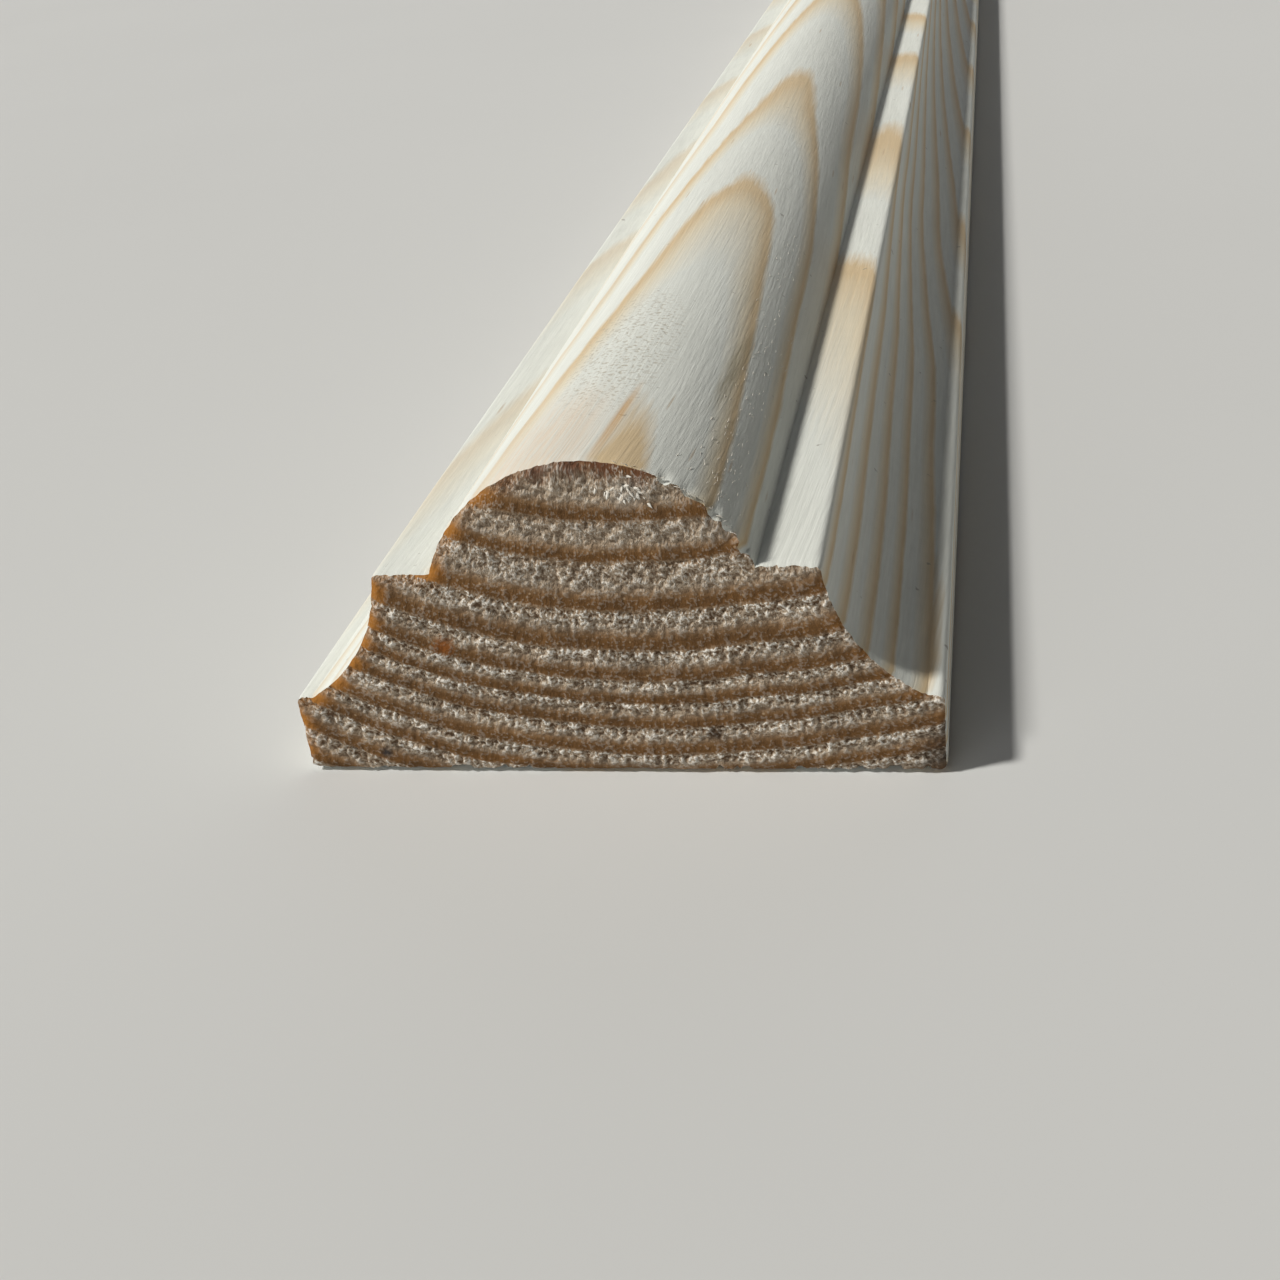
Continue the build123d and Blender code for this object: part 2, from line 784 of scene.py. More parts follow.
    def _canals(self, at: WoodPlace) -> Socket:
        """Adds the opened resin canals.

        Args:
            at: The point's place.

        Returns:
            How much of the point a canal covers.
        """
        spread = {"Vector": at.in_grain(self.canal_press), "Scale": 1 / self.canal_apart_mm}
        away = add(at.tree, "TexVoronoi", spread, "Distance")
        return add(at.tree, "MapRange", (away, *self.canal_cover))

    def _grime(self, at: WoodPlace) -> Socket:
        """Adds sparse specks of dirt.

        Args:
            at: The point's place.

        Returns:
            How much of the point a speck covers.
        """
        spread = {"Vector": at.place, "Scale": 1 / (self.grime_mm * MM), "Detail": 2.0}
        specks = add(at.tree, "TexNoise", spread, "Fac")
        return add(at.tree, "MapRange", (specks, *self.grime_cover))

    def _picks(self, at: WoodPlace) -> Socket:
        """Adds the scuffed patch on the bead, where the fibres are picked up.

        Args:
            at: The point's place.

        Returns:
            How much of the point a picked spot covers.
        """
        tree = at.tree
        middle = tuple(size * MM for size in self.scuff_at)
        scale = (*(1 / (reach * MM) for reach in self.scuff_reach), 0.0)
        offset = add(tree, "VectorMath", (at.place, middle), operation="SUBTRACT")
        share = add(tree, "VectorMath", (offset, scale), operation="MULTIPLY")
        away = add(tree, "VectorMath", (share,), "Value", operation="LENGTH")
        patch = add(tree, "MapRange", (away, *self.scuff_edge), interpolation_type="SMOOTHSTEP")
        spread = {"Vector": at.place, "Scale": 1 / (self.pick_mm * MM), "Detail": 2.0}
        spots = add(tree, "TexNoise", spread, "Fac")
        return product(tree, add(tree, "MapRange", (spots, *self.pick_cover)), patch)

    def _relief(
        self, at: WoodPlace, share: Socket, fibre: Socket, fibres_at: Socket, picks: Socket
    ) -> Socket:
        """Raises fibres, ridges and latewood and adds the cutters' chatter.

        Args:
            at: The point's place.
            share: How far through its ring it lies.
            fibre: How pale the fibre is there.
            fibres_at: The place that the fibres' pattern is read at.
            picks: How much of the point a picked spot covers.

        Returns:
            The surface's normal.
        """
        tree = at.tree
        waves = add(tree, "Math", (at.along, math.tau / (self.chatter_mm * MM)), operation="MULTIPLY")
        chatter = add(tree, "Math", (waves,), operation="SINE")
        spread = {"Vector": fibres_at, "Scale": 1 / self.ridge_mm, "Detail": 2.0}
        ridge = add(tree, "TexNoise", spread, "Fac")
        layers = (
            (chatter, self.chatter_rise), (share, self.latewood_rise),
            (ridge, self.ridge_rise), (picks, -self.pick_sink),
        )
        height = fibre
        for layer, rise in layers:
            height = add(tree, "Math", (layer, rise, height), operation="MULTIPLY_ADD")
        depth = {"Strength": self.bump, "Distance": self.bump_mm * MM, "Height": height}
        return add(tree, "Bump", depth)


@dataclass(frozen=True)
class Mark:
    """A stain, a torn spot or another patch of colour on the near end, in millimetres across and up
    the section.
    """

    x: float
    z: float
    radius: float
    colour: str
    strength: float
    fray: float = 1.2
    edge: Span = (1.9, 0.9)

    def cover(self, at: WoodPlace, crumb: Socket) -> Socket:
        """Adds the nodes that say how much of a point the mark covers.

        Args:
            at: The point's place.
            crumb: How high the wood crumbles there.

        Returns:
            The mark's strength in its middle, and zero outside it and on the far end.
        """
        tree = at.tree
        middle = (self.x * MM, 0.0, self.z * MM)
        outer, inner = (self.radius * MM * share for share in self.edge)
        offset = add(tree, "VectorMath", (at.place, middle), operation="SUBTRACT")
        flat = add(tree, "VectorMath", (offset, (1.0, 0.0, 1.0)), operation="MULTIPLY")
        away = add(tree, "VectorMath", (flat,), "Value", operation="LENGTH")
        wander = self.radius * MM * self.fray
        frayed = add(tree, "Math", (crumb, wander, away), operation="MULTIPLY_ADD")
        cover = add(tree, "MapRange", (frayed, outer, inner, 0.0, self.strength))
        return product(tree, cover, add(tree, "Math", (at.along, 0.0), operation="LESS_THAN"))


@dataclass(frozen=True)
class SawnEndGrain:
    """Scots pine sawn across its fibres.

    Each ring starts pale and crumbly where the saw tore the soft earlywood, browns towards its
    latewood and stops at a crisp edge. Pale dots are resin canals and fine radial lines are rays.
    Crumbs and rays are drawn a few times coarser than life, so that they show. Pale tufts on the
    crumbs' tops are partly painted highlight, and dark pits in their hollows partly painted shade.
    """

    start: str = "#AC9B86"
    middle: str = "#9C846A"
    browning: str = "#886948"
    latewood: str = "#6E4D28"
    # Pale torn fibres, which on the crumbs' tops are partly a painted highlight.
    torn: str = "#F0EADF"
    # Dark pits, partly painted shade in the hollows between crumbs.
    pit_and_shade: str = "#62472D"
    canal: str = "#C0A583"
    amber: str = "#B8792F"
    crumb_mm: float = 0.16
    crumb_press: float = 0.9
    patch_mm: float = 1.4545
    ray_mm: float = 0.16
    ray_press: float = 0.2
    canal_apart_mm: float = 0.8
    crumb_shake: float = 0.11
    early: Remap = (0.40, 0.66, 1.0, 0.0)
    crumbly: Remap = (0.18, 0.46, 1.0, 0.3)
    crumbly_rings: Remap = (23.0, 29.0, 0.34, 1.0)
    chewed_edge: Remap = (0.2, 1.4, 0.6, 0.0)
    chewed_crown: Remap = (15.0 * MM, 17.0 * MM, 0.0, 1.0)
    relief_weight: float = 0.165
    # Tufts sit on the highest crumbs and pits in the lowest hollows: partly painted highlight and
    # painted shade.
    tufts_and_highlights: Remap = (0.53, 0.66, 0.0, 1.0)
    tufts_and_highlights_where_soft: Remap = (0.0, 1.0, 0.16, 1.0)
    pits_and_shade: Remap = (0.46, 0.33, 0.0, 0.9)
    pits_and_shade_where_soft: Remap = (0.0, 1.0, 0.36, 1.0)
    canals: Remap = (0.05, 0.11, 0.7, 0.0)
    canals_where_early: Remap = (0.0, 1.0, 1.0, 0.0)
    ray_tone: Remap = (0.3, 0.7, 0.93, 1.06)
    patch_tone: Remap = (0.3, 0.7, 0.76, 1.16)
    outer_tone: Remap = (26.0, 31.0, 1.0, 0.92)
    amber_edge: Remap = (0.1, 1.2, 0.75, 0.0)
    amber_where_early: Remap = (0.0, 1.0, 1.0, 0.4)
    amber_left: Remap = (-6.0 * MM, 1.0 * MM, 1.0, 0.12)
    amber_above: Remap = (0.4 * MM, 1.6 * MM, 0.0, 1.0)
    marks: tuple[Mark, ...] = (
        # Darker at the near end's lower right corner.
        Mark(17.3, 0.7, 1.5, "#3A2F26", 0.75),
        Mark(-12.9, 1.1, 0.35, "#2E2C2C", 0.9),
        Mark(-8.4, 7.75, 0.55, "#8A4E16", 0.8),
        # Darker again a little higher at the lower right corner.
        Mark(17.4, 2.3, 0.9, "#3A2F26", 0.6),
        Mark(5.6, 2.3, 0.5, "#3F2A17", 0.85),
        Mark(2.5, 16.2, 0.8, "#D9CFC0", 0.45),
        Mark(-3.6, 17.1, 0.8, "#6E4A30", 0.7),
        Mark(-1.9, 17.7, 0.9, "#68432E", 0.85),
        Mark(-0.2, 17.9, 0.9, "#643F2B", 0.85),
        Mark(1.5, 17.8, 0.9, "#643F2B", 0.85),
        Mark(3.3, 17.3, 0.8, "#68432E", 0.75),
    )
    roughness: float = 0.8
    sheen: float = 0.25
    bump_mm: float = 0.14
    bump_where_early: Remap = (0.0, 1.0, 0.35, 1.0)
    ray_bump: float = 0.3

    def material(self) -> bpy.types.Material:
        """Builds the material that the two ends wear.

        Returns:
            The material.
        """
        mat, shader = new_material("sawn_scots_pine_end_grain")
        tree = mat.node_tree
        at = WoodPlace.of(tree)
        rim = add(tree, "Attribute", (), "Fac", attribute_name="rim")
        face_at = self._on_face(at, self.crumb_press)
        crumbs = {"Vector": face_at, "Scale": 1 / self.crumb_mm, "Detail": 1.0, "Roughness": 0.55}
        crumb = add(tree, "TexNoise", crumbs, "Fac")
        patches = {"Vector": face_at, "Scale": 1 / self.patch_mm, "Detail": 2.0}
        patch = add(tree, "TexNoise", patches, "Fac")
        rays_at = self._on_face(at, self.ray_press, layer=3.0)
        rays = {"Vector": rays_at, "Scale": 1 / self.ray_mm, "Detail": 2.0}
        ray = add(tree, "TexNoise", rays, "Fac")
        share = self._share(at, crumb)
        early = add(tree, "MapRange", (share, *self.early), interpolation_type="SMOOTHSTEP")
        colour = layered(tree, self._rings(tree, share), self._torn_and_painted_light(at, rim, share, early, crumb))
        tone = product(
            tree,
            add(tree, "MapRange", (ray, *self.ray_tone)),
            add(tree, "MapRange", (patch, *self.patch_tone)),
            add(tree, "MapRange", (at.radius, *self.outer_tone)),
        )
        colour = add(tree, "VectorMath", {0: colour, "Scale": tone}, operation="SCALE")
        layers = [(self._amber(at, rim, early), self.amber)]
        layers += [(mark.cover(at, crumb), mark.colour) for mark in self.marks]
        feed(tree, shader, {
            "Base Color": layered(tree, colour, layers),
            "Roughness": self.roughness,
            "Normal": self._relief(tree, early, crumb, ray),
            "Specular IOR Level": self.sheen,
        })
        return mat

    def _on_face(self, at: WoodPlace, press: float = 1.0, layer: float = 0.0) -> Socket:
        """Places points on the face by the grain.

        Args:
            at: The point's place.
            press: Below one, draws a pattern out along the rays.
            layer: Which slice of the pattern is read.

        Returns:
            Round and out from the pith in millimetres, and the layer.
        """
        out = add(at.tree, "Math", (at.radius, press), operation="MULTIPLY")
        return add(at.tree, "CombineXYZ", (at.arc, out, layer))

    def _share(self, at: WoodPlace, crumb: Socket) -> Socket:
        """Finds how far through its ring a point lies, with crumbled edges.

        Args:
            at: The point's place.
            crumb: How high the wood crumbles there.

        Returns:
            The share of the ring, from 0 to 1.
        """
        tree = at.tree
        sway = add(tree, "Math", (crumb, NOISE_MIDDLE), operation="SUBTRACT")
        shaken = add(tree, "Math", (sway, self.crumb_shake, at.ring), operation="MULTIPLY_ADD")
        return add(tree, "Math", (shaken,), operation="FRACT")

    def _rings(self, tree: Tree, share: Socket) -> Socket:
        """Colours the rings.

        Args:
            tree: The material's nodes.
            share: How far through its ring a point lies.

        Returns:
            The ring's colour before the saw tore it.
        """
        return ring_colours(tree, share, (
            (0.0, self.middle), (0.07, self.start), (0.38, self.start), (0.50, self.middle),
            (0.60, self.browning), (0.72, self.latewood), (0.92, self.latewood), (1.0, self.middle),
        ))

    def _torn_and_painted_light(
        self, at: WoodPlace, rim: Socket, share: Socket, early: Socket, crumb: Socket
    ) -> list[tuple[Socket, str]]:
        """Adds what the saw tore: pale tufts, partly a painted highlight on the crumbs' tops, dark
        pits, partly painted shade in their hollows, and opened resin canals.

        Args:
            at: The point's place.
            rim: Its distance from the outline.
            share: How far through its ring it lies.
            early: How much it is earlywood.
            crumb: How high the wood crumbles there.

        Returns:
            How much of the point each covers, with its colour.
        """
        tree = at.tree
        soft = product(
            tree,
            early,
            add(tree, "MapRange", (at.radius, *self.crumbly_rings)),
            add(tree, "MapRange", (share, *self.crumbly), interpolation_type="SMOOTHSTEP"),
        )
        chewed = product(
            tree,
            add(tree, "MapRange", (rim, *self.chewed_edge), interpolation_type="SMOOTHSTEP"),
            add(tree, "MapRange", (at.up, *self.chewed_crown)),
        )
        soft = add(tree, "Math", (soft, chewed), operation="MAXIMUM")
        relief = add(tree, "Attribute", (), "Fac", attribute_name="relief")
        peak = add(tree, "Math", (relief, self.relief_weight, crumb), operation="MULTIPLY_ADD")
        dots = {"Vector": self._on_face(at), "Scale": 1 / self.canal_apart_mm}
        away = add(tree, "TexVoronoi", dots, "Distance")
        # Pale on the relief's tops and dark in its hollows: partly painted highlight and painted shade
        # over torn fibres and pits.
        traces = (
            (peak, self.tufts_and_highlights, soft, self.tufts_and_highlights_where_soft, self.torn),
            (peak, self.pits_and_shade, soft, self.pits_and_shade_where_soft, self.pit_and_shade),
            (away, self.canals, early, self.canals_where_early, self.canal),
        )
        layers: list[tuple[Socket, str]] = []
        for source, cover, place, there, code in traces:
            seen = add(tree, "MapRange", (source, *cover))
            layers.append((product(tree, seen, add(tree, "MapRange", (place, *there))), code))
        return layers

    def _amber(self, at: WoodPlace, rim: Socket, early: Socket) -> Socket:
        """Adds the glow of light through the thin wood of the left arris.

        Args:
            at: The point's place.
            rim: Its distance from the outline.
            early: How much it is earlywood.

        Returns:
            How much of the point glows amber.
        """
        tree = at.tree
        return product(
            tree,
            add(tree, "MapRange", (rim, *self.amber_edge), interpolation_type="SMOOTHSTEP"),
            add(tree, "MapRange", (early, *self.amber_where_early)),
            add(tree, "MapRange", (at.across, *self.amber_left)),
            add(tree, "MapRange", (at.up, *self.amber_above)),
        )

    def _relief(self, tree: Tree, early: Socket, crumb: Socket, ray: Socket) -> Socket:
        """Raises crumbs and rays.

        Args:
            tree: The material's nodes.
            early: How much a point is earlywood.
            crumb: How high the wood crumbles there.
            ray: How pale the ray is there.

        Returns:
            The surface's normal.
        """
        lines = add(tree, "Math", (ray, self.ray_bump), operation="MULTIPLY")
        weight = add(tree, "MapRange", (early, *self.bump_where_early))
        height = add(tree, "Math", (crumb, weight, lines), operation="MULTIPLY_ADD")
        return add(tree, "Bump", {"Strength": 1.0, "Distance": self.bump_mm * MM, "Height": height})


@dataclass(frozen=True)
class SpeckledFinish:
    """One colour with a faint mottle, for what is plain. The speck's width is in metres."""

    name: str
    colour: str
    speck: float
    tone: Remap
    detail: float
    roughness: float

    def material(self) -> bpy.types.Material:
        """Builds the material.

        Returns:
            The material, under the finish's name.
        """
        mat, shader = new_material(self.name)
        tree = mat.node_tree
        place = add(tree, "TexCoord", (), "Object")
        spread = {"Vector": place, "Scale": 1 / self.speck, "Detail": self.detail}
        tone = add(tree, "MapRange", (add(tree, "TexNoise", spread, "Fac"), *self.tone))
        plain_colour = {0: linear(self.colour)[:3], "Scale": tone}
        tint = add(tree, "VectorMath", plain_colour, operation="SCALE")
        feed(tree, shader, {"Base Color": tint, "Roughness": self.roughness})
        return mat


# Bare wood that the saw split off: nearly white, with strands that take the light unevenly.
TORN_PINE = SpeckledFinish(
    "torn_scots_pine_fibres", "#ECE6DA", 0.2 * MM, (0.3, 0.7, 0.82, 1.04), 2.0, 0.6
)
# Rolled matt paint: an even pale grey without a gloss.
FLOOR_PAINT = SpeckledFinish(
    "matt_painted_floor", "#D8D8D6", 1 / 12, (0.3, 0.7, 0.99, 1.01), 3.0, 0.85
)


@dataclass(frozen=True)
class SawCut:
    """What the saw left of one end: crumbled rings, tooth marks and a ragged outline."""

    end: End
    mean: float = 0.18
    early_until: Span = (0.7, 0.25)
    early_sink: float = 0.03
    crumb_press: Triple = (1.0, 0.0, 0.85)
    coarse_share: float = 0.9
    fine_share: float = 0.6
    crumb_rise: float = 0.03
    crumb_rise_early: float = 0.10
    lump_press: Triple = (1.0, 0.0, 0.55)
    lump_rise: float = 0.03
    broad_rise: float = 0.05
    tooth_rise: float = 0.008
    tooth_pitch: float = 0.55
    tooth_slant: float = 0.7
    tooth_wander: float = 2.0
    torn_from: Span = (0.45, 0.9)
    torn_reach: float = 0.55
    torn_right: Span = (2.0, 6.0)
    torn_least: float = 0.2
    lip: float = 0.10
    lip_reach: float = 0.35
    deepest: float = 0.6
    worn: float = 0.06
    fray: float = 0.03
    tear_from: Span = (0.1, 0.7)
    tear: float = 0.30
    tear_right: Span = (3.0, 5.0)
    tear_above: Span = (11.8, 12.6)
    chip_from: Span = (0.55, 0.9)
    chip: float = 0.2
    chip_below: Span = (0.5, 0.1)
    clear: float = 0.14
    clear_of_tears: float = 0.48
    clear_of_chips: float = 0.36
    chips_up_to: float = 0.7

    @property
    def torn_depth(self) -> float:
        """How deep the outline's torn spots go in from the end."""
        return 0.35 if self.end is End.NEAR else 0.12

    @property
    def raggedness(self) -> float:
        """How much of the tears and chips the end has."""
        return 1.0 if self.end is End.NEAR else 0.3

    def _noise(self, trace: Trace, points: np.ndarray) -> np.ndarray:
        """The noise of one trace, which each end has of its own."""
        seed, size = trace.value
        return Unevenness(seed + self.end.value).at(points, size)

    def crumbs(self, points: np.ndarray) -> np.ndarray:
        """The crumbled fibre ends that the saw leaves.

        Args:
            points: Rows of x, y and z.

        Returns:
            Heights from -1 in a pit to 1 on a crumb.
        """
        pressed = points * self.crumb_press
        coarse = self.coarse_share * self._noise(Trace.CRUMB, pressed)
        return np.clip(coarse + self.fine_share * self._noise(Trace.FINE_CRUMB, pressed), -1.0, 1.0)

    def depth(self, points: np.ndarray, share: np.ndarray, rim: np.ndarray) -> np.ndarray:
        """How deep the saw cut, ring by ring.

        Args:
            points: Rows of x, y and z on the end.
            share: How far through its ring each point lies.
            rim: Distance of each point from the outline.

        Returns:
            Depths in from the end of the stock.
        """
        x, _, z = points.T
        early = smooth(*self.early_until, share)
        pressed = points * self.lump_press
        lumps = self._noise(Trace.LUMP, pressed)
        teeth = x * math.tau / self.tooth_pitch + z * self.tooth_slant + self.tooth_wander * lumps
        depth = self.mean + self.early_sink * early
        depth -= (self.crumb_rise + self.crumb_rise_early * early) * self.crumbs(points)
        depth += self.lump_rise * lumps + self.broad_rise * self._noise(Trace.BROAD, points)
        depth += self.tooth_rise * np.sin(teeth)
        torn = smooth(*self.torn_from, self._noise(Trace.TORN, pressed))
        torn *= smooth(self.torn_reach, 0.0, rim)
        side = self.torn_least + (1.0 - self.torn_least) * smooth(*self.torn_right, x)
        depth += self.torn_depth * torn * side + self.lip * smooth(self.lip_reach, 0.0, rim)
        return np.clip(depth, 0.0, self.deepest)

    def inset(self, flat: np.ndarray) -> np.ndarray:
        """How far the saw wore, tore and chipped the outline.

        Args:
            flat: Rows of x and z on the outline.

        Returns:
            Distances in from the outline.
        """
        x, z = flat.T
        spots = np.insert(flat, 2, 0.0, axis=1)
        tear = smooth(*self.tear_from, self._noise(Trace.TEAR, spots))
        tear *= smooth(*self.tear_right, x) * smooth(*self.tear_above, z)
        chip = smooth(*self.chip_from, self._noise(Trace.CHIP, spots))
        chip *= smooth(*self.chip_below, z)
        ragged = self.raggedness * (self.tear * tear + self.chip * chip)
        return self.worn + self.fray * self._noise(Trace.FRAY, spots) + ragged

    def clearance(self, flat: np.ndarray) -> np.ndarray:
        """How far inside the section the end's fine mesh begins, clear of the ragged outline.

        Args:
            flat: Rows of x and z.

        Returns:
            Distances in from the outline.
        """
        x, z = flat.T
        torn_side = (x > self.tear_right[0]) & (z > self.tear_above[0])
        elsewhere = np.where(z < self.chips_up_to, self.clear_of_chips, self.clear)
        return np.where(torn_side, self.clear_of_tears, elsewhere)


@dataclass(frozen=True)
class BakeLayout:
    """Where faces lie on the bake map, in pixels, with most room for the end near the camera."""

    size: float = 1024.0
    margin: float = 8.0
    length: float = 1008.0
    round_width: float = 440.0
    back_middle: float = 517.0
    back_half: float = 54.0
    near_left: float = 600.0
    near_pixel_mm: float = 0.046
    far_left: float = 592.0
    far_low: float = 788.0
    far_width: float = 424.0


@dataclass
class Moulding:
    """The length of stock, with its planed faces and its two sawn ends."""

    section: Section = field(default_factory=Section)
    rings: GrowthRings = field(default_factory=GrowthRings)
    layout: BakeLayout = BakeLayout()
    length: float = 1000.0
    near_grid: float = 0.1
    far_grid: float = 0.3
    face_step: float = 0.5
    station_step: float = 7.0
    station_inset: float = 4.0
    flat_back: float = 1e-4
    near_insets: tuple[float, ...] = (0.75, 1.5, 2.6)
    far_insets: tuple[float, ...] = (1.8, 0.75)
    row_share: float = 0.87
    edge_share: float = 0.6
    jitter: float = 0.2
    seed: int = 5
    places: list[np.ndarray] = field(init=False, default_factory=list)
    faces: list[tuple[int, ...]] = field(init=False, default_factory=list)
    finishes: list[int] = field(init=False, default_factory=list)
    around: list[np.ndarray] = field(init=False, default_factory=list)
    lips: list[tuple[int, int]] = field(init=False, default_factory=list)
    count: int = field(init=False, default=0)

    def build(self) -> bpy.types.Object:
        """Makes the mesh object.

        Returns:
            The moulding, in metres, with its grain and bake map.
        """
        half = self.length / 2
        near_cut, far_cut = SawCut(End.NEAR), SawCut(End.FAR)
        near = last = self._end_loop(near_cut, self.near_grid)
        stops = self.section.stops(self.near_grid)
        for inset in self.near_insets:
            last = self._band(last, self._loop(stops, -half + inset))
        stops = self.section.stops(self.face_step)
        reach = half - self.station_inset
        for y in np.linspace(-reach, reach, round(self.length / self.station_step)):
            last = self._band(last, self._loop(stops, float(y)))
        stops = self.section.stops(self.far_grid)
        for inset in self.far_insets:
            last = self._band(last, self._loop(stops, half - inset))
        far = self._band(last, self._end_loop(far_cut, self.far_grid))
        self._fill(near, near_cut, self.near_grid)
        self._fill(far, far_cut, self.far_grid)
        return self._object()

    def _points(self, points: np.ndarray, around: np.ndarray) -> int:
        """Adds points.

        Args:
            points: Rows of x, y and z.
            around: Their distances round the outline, or -1 inside an end.

        Returns:
            The first one's number.
        """
        first = self.count
        self.places.append(points)
        self.around.append(around)
        self.count += len(points)
        return first

    def _loop(self, stops: np.ndarray, y: float) -> Loop:
        """Adds one loop of points round the section.

        Args:
            stops: Distances round the outline.
            y: Place along the length.

        Returns:
            The loop.
        """
        return self._points(np.insert(self.section.at(stops), 1, y, axis=1), stops), stops

    def _sawn(self, flat: np.ndarray, cut: SawCut, rim: np.ndarray) -> np.ndarray:
        """Sets points of an end in to where the saw left them.

        Args:
            flat: Rows of x and z on the section.
            cut: What the saw left of that end.
            rim: Distance of each point from the outline.

        Returns:
            Rows of x, y and z.
        """
        half = self.length / 2
        points = np.insert(flat, 1, cut.end.value * half, axis=1)
        share = self.rings.sample(points, half)[:, 0] % 1.0
        points[:, 1] = cut.end.value * (half - cut.depth(points, share, rim))
        return points

    def _end_loop(self, cut: SawCut, grid: float) -> Loop:
        """Adds the worn outline of an end.

        Args:
            cut: What the saw left of that end.
            grid: Spacing of the points.

        Returns:
            The loop.
        """
        stops = self.section.stops(grid)
        flat = self.section.at(stops)
        way = self.section.at(stops + NUDGE) - self.section.at(np.maximum(stops - NUDGE, 0.0))
        inward = np.stack([-way[:, 1], way[:, 0]], axis=1)
        inward /= np.linalg.norm(way, axis=1)[:, None]
        flat = flat + inward * cut.inset(flat)[:, None]
        first = self._points(self._sawn(flat, cut, np.zeros(len(flat))), stops)
        self.lips.append((first, self.count))
        return first, stops

    def _band(self, low: Loop, high: Loop) -> Loop:
        """Skins the planed face between two loops, which may differ in points.

        Args:
            low: The loop at the smaller y.
            high: The loop at the larger y.

        Returns:
            The second loop, for the next band.
        """
        (a0, a), (b0, b) = low, high
        before = len(self.faces)
        if len(a) == len(b):
            for i in range(len(a)):
                j = (i + 1) % len(a)
                self.faces.append((a0 + i, a0 + j, b0 + j, b0 + i))
        else:
            a_next, b_next = (np.append(part, self.section.run[-1]) for part in (a, b))
            i = j = 0
            while i < len(a) or j < len(b):
                if j >= len(b) or (i < len(a) and a_next[i + 1] <= b_next[j + 1]):
                    self.faces.append((a0 + i, a0 + (i + 1) % len(a), b0 + j % len(b)))
                    i += 1
                else:
                    self.faces.append((a0 + i % len(a), b0 + (j + 1) % len(b), b0 + j))
                    j += 1
        self.finishes += [Finish.PLANED.value] * (len(self.faces) - before)
        return high

    def _fill(self, edge: Loop, cut: SawCut, grid: float) -> None:
        """Fills an end with a fine mesh that carries the saw's relief.

        Args:
            edge: The end's outline.
            cut: What the saw left of that end.
            grid: Spacing of the points.
        """
        first, stops = edge
        outline = np.concatenate(self.places)[first:first + len(stops)][:, [0, 2]]
        rows = np.arange(grid, self.section.thickness, grid * self.row_share)
        cols = np.arange(-self.section.half_width, self.section.half_width, grid)
        x, z = np.meshgrid(cols, rows)
        x = x + (np.arange(len(rows)) % 2 * grid / 2)[:, None]
        flat = np.stack([x.ravel(), z.ravel()], axis=1)
        shift = np.random.default_rng(self.seed).uniform(-self.jitter, self.jitter, flat.shape)
        flat = flat + shift * grid
        rim = self.section.depth(flat)
        keep = rim > cut.clearance(flat) + grid * self.edge_share
        flat, rim = flat[keep], rim[keep]
        inner = self._points(self._sawn(flat, cut, rim), np.full(len(flat), -1.0))
        every = [Vector(point) for point in np.concatenate([outline, flat]).tolist()]
        loop = [(i, (i + 1) % len(outline)) for i in range(len(outline))]
        _, _, triangles, sources, *_ = delaunay_2d_cdt(every, loop, [], 1, SAME_PLACE)
        numbers = [
            first + source[0] if source[0] < len(outline) else inner + source[0] - len(outline)
            for source in sources
        ]
        for triangle in triangles:
            face = tuple(numbers[i] for i in triangle)
            self.faces.append(face if cut.end is End.NEAR else face[::-1])
        self.finishes += [Finish.SAWN.value] * len(triangles)

    def _object(self) -> bpy.types.Object:
        """Turns the gathered points and faces into the object.

        Returns:
            The object, with all that its materials read.
        """
        points = np.concatenate(self.places)
        around = np.concatenate(self.around)
        thing = new_object("moulding_body", points, self.faces)
        mesh = thing.data
        mesh.polygons.foreach_set("material_index", self.finishes)
        grain = self.rings.sample(points, self.length / 2).astype(np.float32)
        mesh.attributes.new("grain", "FLOAT_VECTOR", "POINT").data.foreach_set("vector", grain.ravel())
        near, far = (SawCut(end).crumbs(points) for end in End)
        shades = {
            "rim": np.where(around < 0, self.section.depth(points[:, [0, 2]]), 0.0),
            "relief": np.where(points[:, 1] < 0, near, far),
        }
        for name, values in shades.items():
            layer = mesh.attributes.new(name, "FLOAT", "POINT")
            layer.data.foreach_set("value", values.astype(np.float32))
        self._mark_creases(mesh, around)
        self._bake_map(mesh, points, around)
        mesh.validate()
        return thing

    def _mark_creases(self, mesh: bpy.types.Mesh, around: np.ndarray) -> None:
        """Keeps the section's inner corners and the ends' outlines crisp.

        Args:
            mesh: The moulding's mesh.
            around: Its points' distances round the outline.
        """
        ends = np.zeros(len(mesh.edges) * 2, np.int32)
        mesh.edges.foreach_get("vertices", ends)
        a, b = ends.reshape(-1, 2).T
        lengthwise = np.abs(around[a] - around[b]) < SAME_PLACE
        at_crease = (np.abs(around[a][:, None] - self.section.creases) < SAME_PLACE).any(1)
        sharp = lengthwise & at_crease
        for first, last in self.lips:
            sharp |= (a >= first) & (a < last) & (b >= first) & (b < last)
        mesh.attributes.new("sharp_edge", "BOOLEAN", "EDGE").data.foreach_set("value", sharp)

